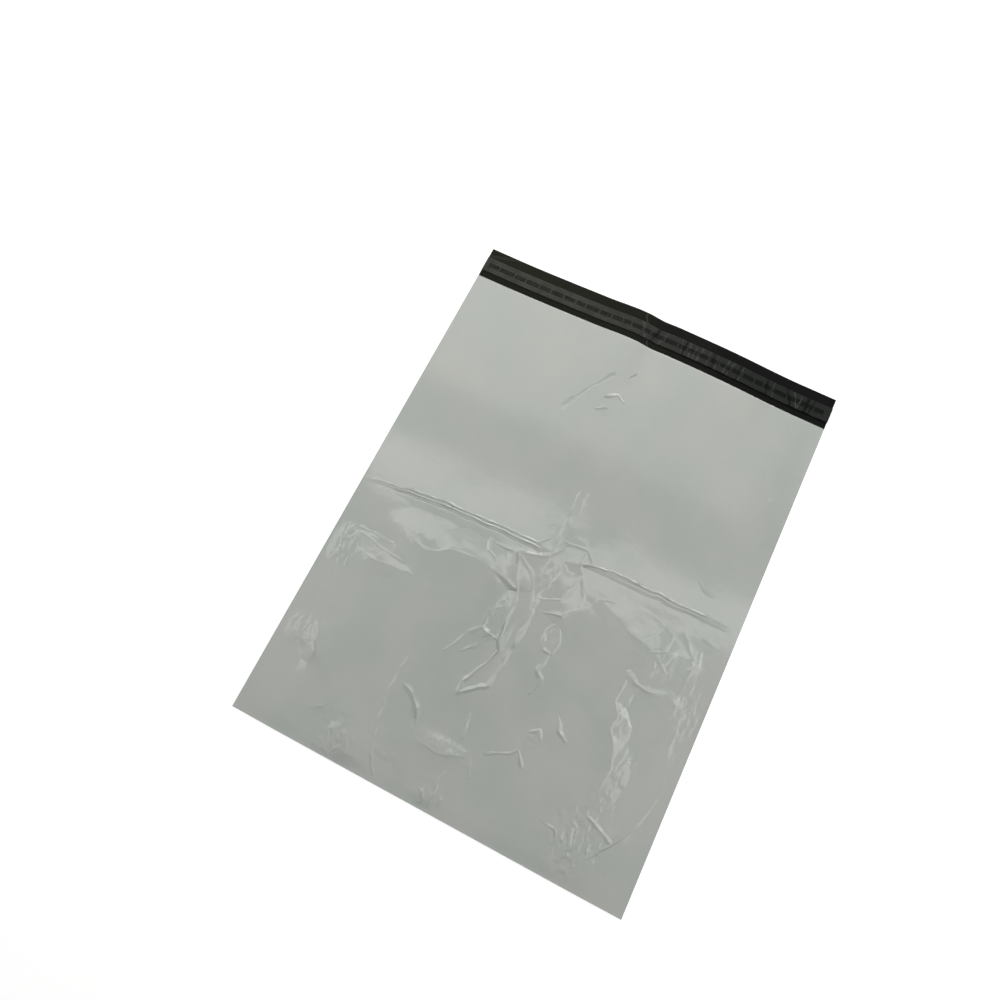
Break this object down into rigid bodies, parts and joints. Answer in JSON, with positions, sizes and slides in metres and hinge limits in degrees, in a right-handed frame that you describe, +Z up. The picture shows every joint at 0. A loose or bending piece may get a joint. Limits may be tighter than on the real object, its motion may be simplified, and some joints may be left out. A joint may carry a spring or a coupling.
{
  "type": "poly mailer",
  "caption": "Flat grey polyethylene mailing bag with a bottom fold, welded sides and an open self-seal flap whose adhesive is under a release liner.",
  "frame": {"origin": "on the surface that the mailer lies on, under the middle of its outline, flap included", "axes": "+X across the mailer, +Y from the bottom fold to the flap, +Z up out of the front panel"},
  "size_m": [0.4, 0.544, 0.0095],
  "materials": {
    "grey_film": "glossy co-extruded film, grey outside and black inside",
    "hot_melt_adhesive": "tacky clear hot-melt",
    "liner_film": "thin silver-grey film with a release coat"
  },
  "bodies": {
    "root": {"bag_film": "grey_film", "adhesive_strip": "hot_melt_adhesive", "release_liner": "liner_film"}
  },
  "joints": []
}
